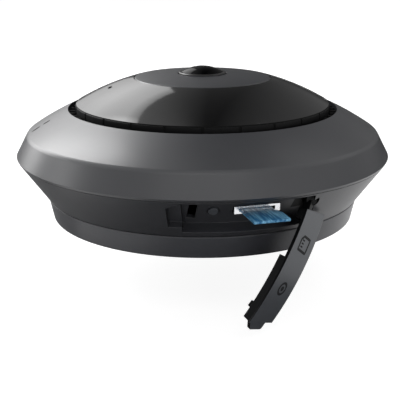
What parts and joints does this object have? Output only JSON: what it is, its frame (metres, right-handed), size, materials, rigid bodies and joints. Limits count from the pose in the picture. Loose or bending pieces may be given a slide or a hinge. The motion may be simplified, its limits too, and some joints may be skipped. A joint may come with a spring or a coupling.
{
  "type": "fisheye ip camera",
  "caption": "Round ceiling fisheye camera with a domed lens cover, a twist-lock mount plate, and a side door over a memory card bay.",
  "frame": {"origin": "centre of the mount plate's mounting face", "axes": "+Z from the mounting face towards the lens, -Y towards the card bay"},
  "size_m": [0.13, 0.1337, 0.0716],
  "materials": {
    "charcoal_housing": "satin fine grain",
    "door_plastic": "satin fine grain",
    "smoked_dome": "high gloss smoked",
    "cap_plastic": "matte",
    "vent_plastic": "matte black",
    "bezel_metal": "semi-gloss black",
    "lens_glass": "coated, polished",
    "inner_glass": "coated, polished",
    "barrel_metal": "black anodised",
    "holder_plastic": "matte black",
    "seal_rubber": "matte",
    "screw_steel": "plain",
    "socket_steel": "bright rolled",
    "circuit_board": "solder mask",
    "component_black": "moulded",
    "emitter_lens": "clear moulded",
    "sink_aluminium": "extruded",
    "flex_film": "film",
    "antenna_metal": "plated",
    "card_plastic": "satin blue"
  },
  "bodies": {
    "mount": {"mount_plate": "charcoal_housing"},
    "camera": {"bottom_cover": "charcoal_housing", "lower_housing": "charcoal_housing", "upper_housing": "charcoal_housing", "dome_cover": "smoked_dome", "top_cap": "cap_plastic", "vent_ring": "vent_plastic", "lens_bezel": "bezel_metal", "front_lens": "lens_glass", "rear_lenses": "inner_glass", "ir_cut_filter": "inner_glass", "lens_barrel": "barrel_metal", "lens_holder": "holder_plastic", "housing_gasket": "seal_rubber", "dome_gasket": "seal_rubber", "housing_screws": "screw_steel", "board_screws": "screw_steel", "hinge_pin": "screw_steel", "card_socket_shell": "socket_steel", "card_socket_body": "component_black", "side_board": "circuit_board", "main_board": "circuit_board", "sensor_board": "circuit_board", "ir_board": "circuit_board", "reset_switch": "component_black", "image_sensor": "component_black", "board_connector": "component_black", "network_jack": "component_black", "power_jack": "component_black", "speaker": "component_black", "microphone": "component_black", "light_sensor": "component_black", "ir_leds": "emitter_lens", "heat_sink": "sink_aluminium", "standoffs": "screw_steel", "ribbon_cable": "flex_film", "antenna": "antenna_metal"},
    "door": {"side_door": "door_plastic"},
    "card": {"memory_card": "card_plastic"},
    "button": {"reset_button": "component_black"}
  },
  "joints": [
    {"name": "mount_twist", "type": "hinge", "parent": "mount", "child": "camera", "pos_m": [0, 0, 0], "axis": [0, 0, 1], "range_deg": [0, 15]},
    {"name": "door_swing", "type": "hinge", "parent": "camera", "child": "door", "pos_m": [0.03318, -0.0531, 0.0182], "axis": [0.1456, -0.974, 0.1736], "range_deg": [-60, 0]},
    {"name": "card_slide", "type": "slide", "parent": "camera", "child": "card", "axis": [0.284, -0.9588, 0], "range_m": [-0.01201, 0]},
    {"name": "button_press", "type": "slide", "parent": "camera", "child": "button", "axis": [-0.0463, 0.8148, 0.5779], "range_m": [0, 0.0004], "stiffness_N_per_m": 150}
  ],
  "couplings": [
    {"joint": "card_slide", "follows": "door_swing", "m_per_rad": 0.011459}
  ]
}
